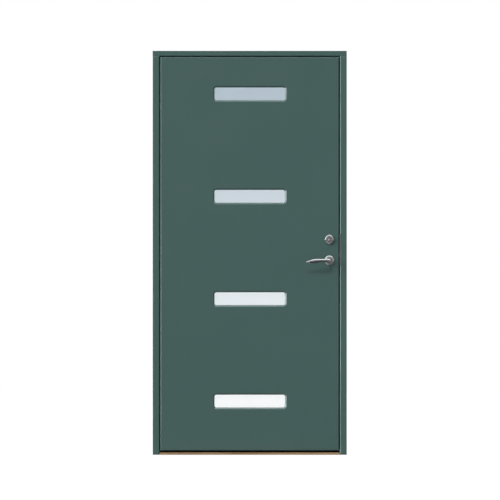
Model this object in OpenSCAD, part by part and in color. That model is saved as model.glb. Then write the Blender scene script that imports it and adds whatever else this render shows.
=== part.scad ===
// Flush front door with four slot lights, hung in its rebated frame on concealed hinges.
// X runs across the door, Y from outside to inside, and Z up from the underside of the frame.

/* [Frame] */
// Width of the frame
frame_w = 1004; // [904:1:1104]
// Height of the frame
frame_h = 2090; // [1900:1:2290]
// Depth of the frame through the wall
frame_d = 105; // [102:1:140]
// Width of a jamb seen from outside
jamb_face = 35; // [32:1:50]
// Height of the head seen from outside
head_face = 28; // [24:1:34]
// How far the stops stand in past the rebate
stop_lap = 15; // [13:0.5:20]
// Width of the bevelled arris round the leaf and along the rebate
arris_w = 4; // [1:0.5:5]
// Radius of the other arrises
edge_r = 1.5; // [0.5:0.5:3]

/* [Threshold] */
// Height of the front nose
nose_h = 11; // [10:0.5:13]
// Height of the sloped top where it meets the stop
sill_h = 14; // [13:0.5:15]
// Height of the stop behind the leaf
sill_stop_h = 40; // [38:1:45]
// Depth of the flat top of the stop
sill_stop_d = 20; // [14:1:26]
// Height of the inner edge
sill_back_h = 22; // [18:1:30]

/* [Leaf] */
// Thickness of the leaf
leaf_t = 62; // [62:1:68]
// Thickness of the outer and inner skins
skin_t = 8; // [8:0.5:10]
// Gap between the leaf and each jamb
side_gap = 5; // [4:0.5:6]
// Gap between the leaf and the head
top_gap = 4; // [3:0.5:8]
// Height of the leaf's underside above the underside of the frame
leaf_lift = 22; // [20:1:26]
// Gap between the leaf and the stops, filled by the seals
seal_gap = 6; // [5:0.5:7]
// Width of the stiles inside the leaf
stile_w = 100; // [96:1:120]
// Height of the rails inside the leaf
rail_h = 110; // [80:1:130]

/* [Lights] */
// Width of the visible glass
light_w = 364; // [200:1:420]
// Height of the visible glass
light_h = 66; // [40:1:110]
// Corner radius of the visible glass
light_r = 9; // [4:1:15]
// Width of the bevel round each light
bevel_w = 8; // [4:0.5:12]
// Distance from the leaf's top to the centre of the highest light
light_top_inset = 190.5; // [180:0.5:260]
// Distance from the leaf's underside to the centre of the lowest light
light_bottom_inset = 255.5; // [180:0.5:300]
// Thickness of each pane
pane_t = 4; // [3:0.5:6]
// How far the panes reach past the visible glass
pane_lap = 18; // [14:1:24]
// Width of the spacer bar round each pane gap
spacer_w = 9; // [6:0.5:12]

/* [Lock] */
// Distance from the leaf's lock edge to the handle axis
backset = 50; // [48:1:52]
// Height of the handle axis above the underside of the frame
handle_z = 1006; // [980:1:1040]
// Height of the cylinder axis above the handle axis
cylinder_rise = 105; // [103:1:115]
// Height of the latch above the handle axis
latch_rise = 29; // [29:1:32]
// Height of the dead bolt above the handle axis
bolt_rise = 84; // [80:1:84]
// Travel of the latch
latch_throw = 12; // [8:0.5:13]
// Travel of the dead bolt
bolt_throw = 20; // [14:0.5:20]
// Turn of the handle that draws the latch back
handle_turn = 40; // [35:1:45]
// Thickness of the lock case
case_t = 18; // [17:0.5:22]
// Width of the square spindle
spindle_w = 8; // [7:0.5:9]
// Height of the strike plate
strike_h = 160; // [150:1:180]

/* [Handle] */
// Diameter of the handle roses
rose_d = 50; // [46:1:56]
// Thickness of the handle roses
rose_t = 7; // [5:0.5:10]
// Reach of a lever from the handle axis to its tip
lever_len = 121; // [105:1:135]
// How far a lever stands out from the leaf
lever_reach = 55; // [50:1:65]
// How far the tip of a lever drops
lever_drop = 9; // [0:1:16]
// Height of a lever's section
lever_h = 18; // [15:0.5:20]
// Depth of a lever's section
lever_t = 13; // [10:0.5:16]
// Diameter of a lever's neck
neck_d = 18; // [16:0.5:20]
// Diameter of the thumbturn's rose
thumb_rose_d = 47; // [42:1:52]
// Width of the egg-shaped ring round the cylinder
ring_w = 44; // [42:1:50]
// Height of the ring from its broad top to its narrow bottom
ring_h = 49; // [46:1:56]
// Height of the ring round the cylinder
ring_t = 12; // [8:0.5:16]
// Diameter of the cylinder body
cylinder_d = 28; // [25:1:29]
// Diameter of the key plug
plug_d = 17; // [14:0.5:20]

/* [Hinges] */
// Distance from each end of the leaf to the outer hinges' centres
hinge_inset = 234; // [180:1:300]
// Opening angle of the leaf
swing = 95; // [60:1:95]
// Height of each link
link_h = 38; // [24:1:44]

/* [Hidden] */
$fn = 64;
paint = "#465F5B";
oak = "#94795B";
steel = "#A9AEB1";
chrome = "#D2D6D8";
zinc = "#8C9194";
rubber = "#1B1E1E";
pale_wood = "#C9AE84";
foam = "#E3DFCF";
glass = "#D3DCE4";
black_spacer = "#2A2C2E";

// Clearances and small sizes of fittings
run_clear = 0.08;
free_clear = 0.4;
through = 1;

// Places of the main faces
y_out = -frame_d / 2;
y_in = frame_d / 2;
y_leaf_in = y_out + leaf_t;
y_stop = y_leaf_in + seal_gap;
y_core_out = y_out + skin_t;
y_core_in = y_leaf_in - skin_t;
core_t = y_core_in - y_core_out;
jamb_in = frame_w / 2 - jamb_face;
stop_in = jamb_in - stop_lap;
head_z = frame_h - head_face;
head_stop_z = head_z - stop_lap;
leaf_x = jamb_in - side_gap;
leaf_top = head_z - top_gap;
leaf_h = leaf_top - leaf_lift;
stile_x = leaf_x - stile_w;
core_z = leaf_lift + rail_h;
core_h = leaf_h - 2 * rail_h;

// Seals
seal_clear = 0.3;
seal_wall = 1;
seal_bulb_r = (seal_gap - seal_clear) / 2;
seal_bore_r = seal_bulb_r - seal_wall;
seal_stem_w = 3;
seal_stem_d = 6;
side_seal_x = (leaf_x + stop_in) / 2;
head_seal_z = (leaf_top + head_stop_z) / 2;
sill_seal_z = (leaf_lift + sill_stop_h) / 2;
sweep_t = 4;
sweep_groove_d = 8;
sweep_lip_t = 1.6;
sweep_inset = 10;
sweep_clear = 0.6;
sweep_y = y_core_in - sweep_inset;
sweep_low = sill_h + sweep_clear;

// Screws
screw_r = 2.25;
screw_head_r = 4.5;
screw_head_d = 2.4;
corner_screw_len = 80;
corner_screw_inset = 25;
sill_screw_z = 6.5;
hinge_screw_len = 27;
strike_screw_len = 22;
fore_end_screw_len = 30;

// Wall fixings
sleeve_r = 10;
sleeve_bore_r = 5.5;
sleeve_y = (y_out + y_stop) / 2;
sleeve_end = 150;
sleeve_mid_low = 700;
sleeve_mid_high = 1340;
sleeve_heights = [sleeve_end, sleeve_mid_low, sleeve_mid_high, frame_h - sleeve_end];

// Lights
light_total = 4;
pane_w = light_w + 2 * pane_lap;
pane_h = light_h + 2 * pane_lap;
pane_gap = (core_t - 3 * pane_t) / 2;
light_high_z = leaf_top - light_top_inset;
light_low_z = leaf_lift + light_bottom_inset;
light_pitch = (light_high_z - light_low_z) / (light_total - 1);
function light_z(i) = light_high_z - (i - 1) * light_pitch;

// Hinges: the leaf turns about a line just outside the gap, and each link turns as far as the leaf
pivot_out = 3;
hinge_x = -(leaf_x + side_gap / 2);
hinge_y = y_out - pivot_out;
hinge_heights = [leaf_lift + hinge_inset, (leaf_lift + leaf_top) / 2, leaf_top - hinge_inset];
pivot = [8.5, 20.4];
cross = [0, 2 * pivot[1]];
tail = [22.5, 50];
pivot_radius = norm(pivot);
pivot_angle = atan2(pivot[1], -pivot[0]);
hinge_reach = 29;
hinge_case_d = hinge_reach - side_gap / 2;
hinge_case_w = 46;
hinge_case_front = pivot_out + skin_t;
hinge_wall = 2;
hinge_lip = 0.4;
hinge_lip_d = 5;
web_t = 6;
web_back = 4.2;
link_clear = 0.5;
link_z = web_t / 2 + link_clear;
cavity_h = link_z + link_h + link_clear;
end_wall = 5;
hinge_case_h = 2 * (cavity_h + end_wall);
hinge_plate_t = 3;
hinge_plate_end = 20;
hinge_plate_h = hinge_case_h + 2 * hinge_plate_end;
hinge_screw_z = hinge_plate_h / 2 - hinge_plate_end / 2;
pin_r = 3;
pin_boss_r = 5;
cross_pin_r = 3;
tail_pin_r = 2.5;
link_half = 4;
tail_half = 3.5;
bar_step = 0.3;

// Lock
lock_x = leaf_x - backset;
lock_y = (y_core_out + y_core_in) / 2;
cylinder_z = handle_z + cylinder_rise;
latch_z = handle_z + latch_rise;
bolt_z = handle_z + bolt_rise;
fore_end_t = 3;
fore_end_w = 22;
fore_end_over = 18;
case_wall = 1.5;
case_depth = 80;
case_over = 42;
case_x = leaf_x - fore_end_t - case_depth;
case_z = handle_z - case_over;
case_h = cylinder_rise + 2 * case_over;
case_room = case_t / 2 - case_wall;
fore_end_z = case_z - fore_end_over;
fore_end_h = case_h + 2 * fore_end_over;
follower_r = 9;
nose_r = 3;
arm_t = 5;
arm_r = latch_throw / sin(handle_turn);
latch_t = 12;
latch_h = 20;
latch_head = 26;
latch_tip = 2;
latch_bar_h = 10;
latch_bar_t = 6;
lug_clear = 0.7;
lug_t = 6;
lug_h = 11;
bolt_h = 20;
bolt_t = 14;
bolt_stay = 4;
bolt_head = bolt_throw + bolt_stay;
bolt_flush = 0.5;
bolt_bar_t = 5;
bolt_bar_back = 20;
cam_turn = 90;
cam_r = bolt_throw / (2 * sin(cam_turn / 2));
cam_hub_r = 8;
cam_clear = 0.8;
driver_w = 8;
driver_t = 3;
spindle_hole_r = 11;
cylinder_clear = 0.5;
cylinder_hole_r = cylinder_d / 2 + cylinder_clear;
cylinder_set = 1;
cylinder_front = y_out - ring_t + cylinder_set;

// Strike
strike_t = 3;
strike_lip_out = 2;
strike_lip_in = 5;
strike_back = 15;
strike_z = (latch_z + bolt_z) / 2 - strike_h / 2;
strike_screw_inset = 11;
window_clear = 0.6;
pocket_clear = 3;

// Handle
rose_bevel_h = 3.8;
rose_bevel_w = 5.5;
ring_bevel_h = 3;
ring_bevel_w = 4.5;
ring_rise = 3;
ring_taper = 0.45;
ring_sides = 64;
thumb_rose_t = 8;
thumb_neck_d = 14;
thumb_reach = 30;
thumb_w = 30;
thumb_t = 10;
thumb_gap = 2;
keyway_w = 2.5;
keyway_h = 9;
keyway_d = 8;
keyway_lean = 45;
socket_d = 24;
lever_rings = 28;
lever_sides = 20;
lever_root = 10;
lever_bend = 0.42;
lever_end_min = 0.06;
lever_root_power = 12;
lever_tip_power = 4;
lever_taper_h = 0.12;
lever_taper_t = 0.25;

// Shared shapes

// Box from its low corner to its high corner
module block(low, high) {
    translate(low) cube(high - low);
}

// Square corner less its quarter circle, in the first quadrant
module arris(r) {
    difference() {
        translate([-through, -through]) square(r + through);
        translate([r, r]) circle(r);
    }
}

// Square corner cut off at 45 degrees, in the first quadrant
module bevel(w) {
    polygon([[-through, -through], [w + through, -through], [-through, w + through]]);
}

// Profile drawn in Y and Z, carried along X and centred
module along_x(length) {
    translate([-length / 2, 0, 0]) rotate([90, 0, 90]) linear_extrude(length) children();
}

// Round bar along Y
module along_y(y0, y1, r) {
    translate([0, y0, 0]) rotate([-90, 0, 0]) cylinder(r = r, h = y1 - y0);
}

// Countersunk screw with its head at the origin, pointing down
module screw(length) {
    translate([0, 0, -length]) cylinder(r = screw_r, h = length);
    translate([0, 0, -screw_head_d]) cylinder(r1 = screw_r, r2 = screw_head_r, h = screw_head_d);
}

// Tube seal with its stem, the bulb touching the stop at the origin and facing down
module seal_section() {
    difference() {
        union() {
            translate([0, -seal_bulb_r]) circle(seal_bulb_r);
            translate([-seal_stem_w / 2, -seal_bulb_r]) square([seal_stem_w, seal_bulb_r + seal_stem_d]);
        }
        translate([0, -seal_bulb_r]) circle(seal_bore_r);
    }
}

// Frame

module jamb_section() {
    difference() {
        polygon([
            [stop_in, y_stop], [jamb_in, y_stop], [jamb_in, y_out],
            [frame_w / 2, y_out], [frame_w / 2, y_in], [stop_in, y_in]
        ]);
        translate([jamb_in, y_out]) bevel(arris_w);
        translate([frame_w / 2, y_out]) mirror([1, 0]) arris(edge_r);
        translate([stop_in, y_in]) mirror([0, 1]) arris(edge_r);
        translate([side_seal_x - seal_stem_w / 2, y_stop - through])
            square([seal_stem_w, seal_stem_d + through]);
    }
}

// Jamb on the +X side with the holes for its screws and sleeves
module jamb_blank() {
    difference() {
        linear_extrude(head_z) jamb_section();
        corner_screw_pair();
        for (z = sleeve_heights)
            translate([jamb_in - through, sleeve_y, z])
                rotate([0, 90, 0]) cylinder(r = sleeve_r, h = jamb_face + 2 * through);
    }
}

// Screws of the two corners on the +X side
module corner_screw_pair() {
    for (y = [y_out + corner_screw_inset, y_in - corner_screw_inset]) {
        translate([frame_w / 2 - jamb_face / 2, y, frame_h]) screw(corner_screw_len);
        translate([frame_w / 2, y, sill_screw_z]) rotate([0, 90, 0]) screw(corner_screw_len);
    }
}

module corner_screws() {
    color(zinc) {
        corner_screw_pair();
        mirror([1, 0, 0]) corner_screw_pair();
    }
}

module head() {
    color(paint) difference() {
        union() {
            block([-frame_w / 2, y_out, head_z], [frame_w / 2, y_in, frame_h]);
            block([-stop_in, y_stop, head_stop_z], [stop_in, y_in, head_z + through]);
        }
        along_x(2 * jamb_in) translate([y_out, head_z]) bevel(arris_w);
        along_x(frame_w + 2 * through) translate([y_out, frame_h]) mirror([0, 1]) arris(edge_r);
        along_x(2 * stop_in) translate([y_in, head_stop_z]) mirror([1, 0]) arris(edge_r);
        block([-stop_in - through, y_stop - through, head_seal_z - seal_stem_w / 2],
            [stop_in + through, y_stop + seal_stem_d, head_seal_z + seal_stem_w / 2]);
        corner_screw_pair();
        mirror([1, 0, 0]) corner_screw_pair();
    }
}

module hinge_jamb() {
    color(paint) difference() {
        mirror([1, 0, 0]) jamb_blank();
        frame_hinge_places() hinge_mortise();
        frame_hinge_places() hinge_screw_pair();
    }
}

module lock_jamb() {
    color(paint) difference() {
        jamb_blank();
        translate([0, 0, strike_z]) linear_extrude(strike_h) strike_section();
        strike_window(latch_z, latch_h, latch_t, leaf_x + latch_throw + pocket_clear);
        strike_window(bolt_z, bolt_h, bolt_t, leaf_x + bolt_throw + pocket_clear);
        strike_screws();
    }
}

module threshold_section() {
    difference() {
        polygon([
            [y_out, 0], [y_in, 0], [y_in, sill_back_h], [y_stop + sill_stop_d, sill_stop_h],
            [y_stop, sill_stop_h], [y_stop, sill_h], [y_out, nose_h]
        ]);
        translate([y_out, nose_h]) mirror([0, 1]) arris(edge_r);
        translate([y_stop - through, sill_seal_z - seal_stem_w / 2])
            square([seal_stem_d + through, seal_stem_w]);
    }
}

module threshold() {
    color(oak) difference() {
        along_x(2 * jamb_in) threshold_section();
        for (side = [-1, 1])
            translate([side * (stop_in + stop_lap), 0, 0])
                block([-stop_lap, y_stop, -through], [stop_lap, y_in + through, sill_stop_h + through]);
        corner_screw_pair();
        mirror([1, 0, 0]) corner_screw_pair();
    }
}

module side_seal() {
    translate([side_seal_x, y_stop, sill_seal_z + seal_bulb_r])
        linear_extrude(head_seal_z - sill_seal_z - 2 * seal_bulb_r) seal_section();
}

module hinge_side_seal() {
    color(rubber) mirror([1, 0, 0]) side_seal();
}

module lock_side_seal() {
    color(rubber) side_seal();
}

module head_seal() {
    color(rubber) along_x(2 * stop_in) translate([y_stop, head_seal_z]) rotate(-90) seal_section();
}

module threshold_seal() {
    color(rubber) along_x(2 * stop_in) translate([y_stop, sill_seal_z]) rotate(-90) seal_section();
}

module fixing_sleeves() {
    color(zinc) for (side = [0, 1], z = sleeve_heights)
        mirror([side, 0, 0]) translate([jamb_in, sleeve_y, z]) rotate([0, 90, 0]) difference() {
            cylinder(r = sleeve_r, h = jamb_face);
            translate([0, 0, -through]) cylinder(r = sleeve_bore_r, h = jamb_face + 2 * through);
        }
}

// Plan of the strike: a plate on the rebate with a lip turned over the outer arris
module strike_section() {
    polygon([
        [jamb_in - strike_lip_out, y_out], [jamb_in + strike_lip_in, y_out],
        [jamb_in + strike_lip_in, y_out + strike_t], [jamb_in + strike_t, y_out + strike_t],
        [jamb_in + strike_t, lock_y + strike_back], [jamb_in, lock_y + strike_back],
        [jamb_in, y_out + strike_t], [jamb_in - strike_lip_out, y_out + strike_t]
    ]);
}

// Room for a bolt through the strike and into the jamb
module strike_window(z, height, thickness, reach) {
    block([jamb_in - through, lock_y - thickness / 2 - window_clear, z - height / 2 - window_clear],
        [reach, lock_y + thickness / 2 + window_clear, z + height / 2 + window_clear]);
}

module strike_plate() {
    color(steel) difference() {
        translate([0, 0, strike_z]) linear_extrude(strike_h) strike_section();
        strike_window(latch_z, latch_h, latch_t, leaf_x + latch_throw + pocket_clear);
        strike_window(bolt_z, bolt_h, bolt_t, leaf_x + bolt_throw + pocket_clear);
        strike_screws();
    }
}

module strike_screws() {
    color(zinc) for (z = [strike_z + strike_screw_inset, strike_z + strike_h - strike_screw_inset])
        translate([jamb_in, lock_y, z]) rotate([0, -90, 0]) screw(strike_screw_len);
}

// Concealed hinges: U runs from the hinge line into the member and V inwards from it

// The three hinge places on the frame, with U towards the jamb
module frame_hinge_places() {
    for (z = hinge_heights)
        frame_hinge_place(z) children();
}

module frame_hinge_place(z) {
    translate([hinge_x, hinge_y, z]) mirror([1, 0, 0]) children();
}

// The three hinge places on the leaf, turned upside down from those on the frame
module leaf_hinge_places() {
    for (z = hinge_heights)
        leaf_hinge_place(z) children();
}

module leaf_hinge_place(z) {
    translate([hinge_x, hinge_y, z]) mirror([0, 0, 1]) children();
}

// Room in the timber for a hinge case and its face plate
module hinge_mortise() {
    hinge_blank(through);
}

module hinge_blank(proud) {
    block([side_gap / 2 - proud, hinge_case_front, -hinge_case_h / 2],
        [side_gap / 2 + hinge_case_d, hinge_case_front + hinge_case_w, hinge_case_h / 2]);
    block([side_gap / 2 - proud, hinge_case_front, -hinge_plate_h / 2],
        [side_gap / 2 + hinge_plate_t, hinge_case_front + hinge_case_w, hinge_plate_h / 2]);
}

// Plan of the room inside the case, with a sloped lip at its outer edge
module hinge_room() {
    near = side_gap / 2;
    deep = near + hinge_case_d - hinge_wall;
    back = hinge_case_front + hinge_case_w - hinge_wall;
    polygon([
        [near - through, hinge_case_front + hinge_lip], [near, hinge_case_front + hinge_lip],
        [near + hinge_lip_d, hinge_case_front + hinge_wall], [deep, hinge_case_front + hinge_wall],
        [deep, back], [near - through, back]
    ]);
}

// Curved slot that guides the tail of the opposite link
module tail_slot() {
    slot_r = tail_pin_r + free_clear;
    overrun = asin(slot_r / pivot_radius);
    translate([tail[0] + pivot[0], tail[1] - pivot[1], -hinge_case_h / 2 - through])
        rotate(pivot_angle - overrun) rotate_extrude(angle = swing + 2 * overrun)
            translate([pivot_radius - slot_r, 0]) square([2 * slot_r, end_wall + 2 * through]);
}

module hinge_screw_pair() {
    middle = hinge_case_front + hinge_case_w / 2;
    for (z = [-hinge_screw_z, hinge_screw_z])
        translate([side_gap / 2, middle, z]) rotate([0, -90, 0]) screw(hinge_screw_len);
}

module hinge_pin() {
    translate([pivot[0], pivot[1], 0]) cylinder(r = pin_r, h = hinge_case_h / 2);
}

module hinge_case() {
    difference() {
        hinge_blank(0);
        for (half = [0, 1])
            mirror([0, 0, half]) translate([0, 0, web_t / 2])
                linear_extrude(cavity_h - web_t / 2) hinge_room();
        block([0, hinge_case_front + hinge_wall, -web_t],
            [web_back, hinge_case_front + hinge_case_w - hinge_wall, web_t]);
        tail_slot();
        hinge_pin();
        hinge_screw_pair();
    }
}

// Straight bar between two round ends, a little narrower than they are
module bar(from, to, half) {
    span = to - from;
    waist = half - bar_step;
    translate(from) circle(half);
    translate(to) circle(half);
    translate(from) rotate(atan2(span[1], span[0])) translate([0, -waist]) square([norm(span), 2 * waist]);
}

// Link from its pivot past the cross pin to the tail that slides in the opposite case
module hinge_link(cross_bore_r) {
    far = [-tail[0], tail[1]];
    translate([0, 0, link_z]) difference() {
        union() {
            linear_extrude(link_h) {
                bar(pivot, cross, link_half);
                bar(cross, far, tail_half);
                translate(pivot) circle(pin_boss_r);
                translate(cross) circle(pin_boss_r);
            }
            translate([far[0], far[1], link_h]) cylinder(r = tail_pin_r, h = end_wall);
        }
        translate([pivot[0], pivot[1], -through]) cylinder(r = pin_r + run_clear, h = link_h + 2 * through);
        if (cross_bore_r > 0)
            translate([cross[0], cross[1], -through]) cylinder(r = cross_bore_r, h = link_h + 2 * through);
    }
}

module lower_frame_hinge() {
    color(zinc) frame_hinge_place(hinge_heights[0]) hinge_case();
}

module middle_frame_hinge() {
    color(zinc) frame_hinge_place(hinge_heights[1]) hinge_case();
}

module upper_frame_hinge() {
    color(zinc) frame_hinge_place(hinge_heights[2]) hinge_case();
}

module lower_leaf_hinge() {
    color(zinc) leaf_hinge_place(hinge_heights[0]) hinge_case();
}

module middle_leaf_hinge() {
    color(zinc) leaf_hinge_place(hinge_heights[1]) hinge_case();
}

module upper_leaf_hinge() {
    color(zinc) leaf_hinge_place(hinge_heights[2]) hinge_case();
}

module frame_hinge_pins() {
    color(steel) frame_hinge_places() hinge_pin();
}

module leaf_hinge_pins() {
    color(steel) leaf_hinge_places() hinge_pin();
}

module frame_hinge_screws() {
    color(zinc) frame_hinge_places() hinge_screw_pair();
}

module leaf_hinge_screws() {
    color(zinc) leaf_hinge_places() hinge_screw_pair();
}

// Links on the frame carry the cross pin
module frame_links() {
    color(steel) frame_hinge_places() {
        hinge_link(0);
        translate([cross[0], cross[1], -link_z - link_h])
            cylinder(r = cross_pin_r, h = 2 * link_z + link_h + through);
    }
}

module leaf_links() {
    color(steel) leaf_hinge_places() hinge_link(cross_pin_r + free_clear);
}

// Leaf

// Rounded light opening with a bevel that narrows from the face to the glass
module light_opening() {
    half_w = light_w / 2;
    half_h = light_h / 2;
    flat_w = half_w - light_r;
    flat_h = half_h - light_r;
    wide_r = light_r + bevel_w;
    for (x = [-flat_w, flat_w], z = [-flat_h, flat_h])
        translate([x, 0, z]) rotate([-90, 0, 0]) cylinder(r1 = wide_r, r2 = light_r, h = skin_t);
    along_x(2 * flat_w) bevel_profile(half_h);
    translate([0, 0, -flat_h]) linear_extrude(2 * flat_h) mirror([0, 1]) rotate(-90) bevel_profile(half_w);
}

// Section through an opening from the face at zero to the glass
module bevel_profile(half) {
    polygon([[0, -half - bevel_w], [skin_t, -half], [skin_t, half], [0, half + bevel_w]]);
}

// Bevels of the four outer edges of a skin whose face is at Y zero
module skin_arrises() {
    for (side = [0, 1])
        mirror([side, 0, 0]) translate([-leaf_x, 0, leaf_lift - through])
            linear_extrude(leaf_h + 2 * through) bevel(arris_w);
    along_x(2 * leaf_x + 2 * through) translate([0, leaf_lift]) bevel(arris_w);
    along_x(2 * leaf_x + 2 * through) translate([0, leaf_top]) mirror([0, 1]) bevel(arris_w);
}

// Skin with its face at Y zero and its back at skin_t
module skin() {
    difference() {
        block([-leaf_x, 0, leaf_lift], [leaf_x, skin_t, leaf_top]);
        skin_arrises();
        for (i = [1 : light_total])
            translate([0, 0, light_z(i)]) light_opening();
        translate([lock_x, 0, handle_z]) along_y(-through, skin_t + through, spindle_hole_r);
        translate([lock_x, 0, cylinder_z]) along_y(-through, skin_t + through, cylinder_hole_r);
    }
}

module outer_skin() {
    color(paint) translate([0, y_out, 0]) skin();
}

module inner_skin() {
    color(paint) translate([0, y_leaf_in, 0]) mirror([0, 1, 0]) skin();
}

module hinge_stile() {
    color(pale_wood) difference() {
        block([-leaf_x, y_core_out, leaf_lift], [-stile_x, y_core_in, leaf_top]);
        leaf_hinge_places() hinge_mortise();
        leaf_hinge_places() hinge_screw_pair();
        sweep_groove();
    }
}

module lock_stile() {
    color(pale_wood) difference() {
        block([stile_x, y_core_out, leaf_lift], [leaf_x, y_core_in, leaf_top]);
        block([case_x, lock_y - case_t / 2, case_z], [leaf_x, lock_y + case_t / 2, case_z + case_h]);
        fore_end_blank(through);
        fore_end_screws();
        translate([lock_x, 0, handle_z]) along_y(y_out, y_leaf_in, spindle_hole_r);
        translate([lock_x, 0, cylinder_z]) along_y(y_out, y_leaf_in, cylinder_hole_r);
        sweep_groove();
    }
}

module top_rail() {
    color(pale_wood) block([-stile_x, y_core_out, leaf_top - rail_h], [stile_x, y_core_in, leaf_top]);
}

module bottom_rail() {
    color(pale_wood) difference() {
        block([-stile_x, y_core_out, leaf_lift], [stile_x, y_core_in, leaf_lift + rail_h]);
        sweep_groove();
    }
}

module insulation_core() {
    color(foam) difference() {
        block([-stile_x, y_core_out, core_z], [stile_x, y_core_in, core_z + core_h]);
        for (i = [1 : light_total])
            block([-pane_w / 2, y_core_out - through, light_z(i) - pane_h / 2],
                [pane_w / 2, y_core_in + through, light_z(i) + pane_h / 2]);
    }
}

// One pane of light i with its outer face at the given Y
module pane(i, y) {
    color(glass) block([-pane_w / 2, y, light_z(i) - pane_h / 2],
        [pane_w / 2, y + pane_t, light_z(i) + pane_h / 2]);
}

module outer_pane(i) {
    pane(i, y_core_out);
}

module inner_pane(i) {
    pane(i, y_core_in - pane_t);
}

module middle_panes() {
    for (i = [1 : light_total])
        pane(i, y_core_out + pane_t + pane_gap);
}

module glass_spacers() {
    color(black_spacer) for (i = [1 : light_total], y = [y_core_out + pane_t, y_core_in - pane_t - pane_gap])
        difference() {
            block([-pane_w / 2, y, light_z(i) - pane_h / 2],
                [pane_w / 2, y + pane_gap, light_z(i) + pane_h / 2]);
            block([-pane_w / 2 + spacer_w, y - through, light_z(i) - pane_h / 2 + spacer_w],
                [pane_w / 2 - spacer_w, y + pane_gap + through, light_z(i) + pane_h / 2 - spacer_w]);
        }
}

// Groove along the leaf's underside, near its inner face
module sweep_groove() {
    block([-leaf_x - through, sweep_y - sweep_t / 2, leaf_lift - through],
        [leaf_x + through, sweep_y + sweep_t / 2, leaf_lift + sweep_groove_d]);
}

// Lip seal held in the groove
module bottom_sweep() {
    color(rubber) {
        block([-leaf_x, sweep_y - sweep_t / 2, leaf_lift],
            [leaf_x, sweep_y + sweep_t / 2, leaf_lift + sweep_groove_d]);
        block([-leaf_x, sweep_y - sweep_lip_t / 2, sweep_low],
            [leaf_x, sweep_y + sweep_lip_t / 2, leaf_lift]);
    }
}

// Lock

module lock_case() {
    color(zinc) difference() {
        block([case_x, lock_y - case_t / 2, case_z],
            [leaf_x - fore_end_t, lock_y + case_t / 2, case_z + case_h]);
        block([case_x + case_wall, lock_y - case_room, case_z + case_wall],
            [leaf_x - fore_end_t + through, lock_y + case_room, case_z + case_h - case_wall]);
        translate([lock_x, 0, handle_z]) along_y(y_out, y_leaf_in, follower_r + run_clear);
        translate([lock_x, 0, cylinder_z]) along_y(y_out, y_leaf_in, cam_hub_r + run_clear);
    }
}

module fore_end_blank(proud) {
    block([leaf_x - fore_end_t, lock_y - fore_end_w / 2, fore_end_z],
        [leaf_x + proud, lock_y + fore_end_w / 2, fore_end_z + fore_end_h]);
}

// Room for a bolt through the fore-end
module fore_end_window(z, height, thickness) {
    block([leaf_x - fore_end_t - through, lock_y - thickness / 2 - free_clear, z - height / 2 - free_clear],
        [leaf_x + through, lock_y + thickness / 2 + free_clear, z + height / 2 + free_clear]);
}

module fore_end() {
    color(steel) difference() {
        fore_end_blank(0);
        fore_end_window(latch_z, latch_h, latch_t);
        fore_end_window(bolt_z, bolt_h, bolt_t);
        fore_end_screws();
    }
}

module fore_end_screws() {
    color(zinc) for (z = [fore_end_z + fore_end_over / 2, fore_end_z + fore_end_h - fore_end_over / 2])
        translate([leaf_x, lock_y, z]) rotate([0, 90, 0]) screw(fore_end_screw_len);
}

module follower() {
    color(zinc) translate([lock_x, lock_y, handle_z]) difference() {
        union() {
            along_y(-case_t / 2, case_t / 2, follower_r);
            block([-nose_r, -arm_t / 2, 0], [nose_r, arm_t / 2, arm_r]);
            translate([0, 0, arm_r]) along_y(-arm_t / 2, arm_t / 2, nose_r);
        }
        block([-spindle_w / 2, -case_t, -spindle_w / 2], [spindle_w / 2, case_t, spindle_w / 2]);
    }
}

// Latch: a head bevelled on its inner side, and a bar whose lug the follower's nose pushes back
module latch_bolt() {
    tip = leaf_x + latch_throw;
    lug_x = lock_x - nose_r - lug_clear;
    bar_low = latch_z - latch_bar_h / 2;
    color(steel) {
        translate([0, lock_y, latch_z - latch_h / 2]) linear_extrude(latch_h) polygon([
            [tip - latch_head, -latch_t / 2], [tip, -latch_t / 2], [tip, -latch_t / 2 + latch_tip],
            [tip - latch_t + latch_tip, latch_t / 2], [tip - latch_head, latch_t / 2]
        ]);
        block([lug_x - lug_t, lock_y - latch_bar_t / 2, bar_low],
            [tip - latch_head, lock_y + latch_bar_t / 2, bar_low + latch_bar_h]);
        block([lug_x - lug_t, lock_y - latch_bar_t / 2, bar_low - lug_h],
            [lug_x, lock_y + latch_bar_t / 2, bar_low]);
    }
}

// Cam that throws the dead bolt, with the flat driver that the plug and the thumbturn share
module bolt_cam() {
    lean = cam_turn / 2;
    color(zinc) translate([lock_x, lock_y, cylinder_z]) {
        along_y(-case_t / 2, case_t / 2, cam_hub_r);
        rotate([0, lean, 0]) {
            block([-nose_r, free_clear, -cam_r], [nose_r, case_room - free_clear, 0]);
            translate([0, 0, -cam_r]) along_y(-case_room + free_clear, case_room - free_clear, nose_r);
        }
        block([-driver_t / 2, -case_t / 2 - socket_d / 2, -driver_w / 2],
            [driver_t / 2, case_t / 2 + socket_d / 2, driver_w / 2]);
    }
}

// Dead bolt, drawn back flush with the fore-end, with a notched bar for the cam
module dead_bolt() {
    tip = leaf_x - bolt_flush;
    notch_x = lock_x - cam_r * sin(cam_turn / 2);
    notch_half = nose_r + cam_clear;
    bar_low = bolt_z - bolt_h / 2;
    bar_top = cylinder_z - cam_hub_r - free_clear;
    notch_low = cylinder_z - cam_r - nose_r - cam_clear;
    color(steel) {
        block([tip - bolt_head, lock_y - bolt_t / 2, bar_low], [tip, lock_y + bolt_t / 2, bar_low + bolt_h]);
        difference() {
            block([lock_x - bolt_bar_back, lock_y - bolt_bar_t - free_clear, bar_low],
                [tip - bolt_head, lock_y - free_clear, bar_top]);
            block([notch_x - notch_half, lock_y - case_t, notch_low],
                [notch_x + notch_half, lock_y + case_t, bar_top + through]);
        }
    }
}

// Handle set

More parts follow.
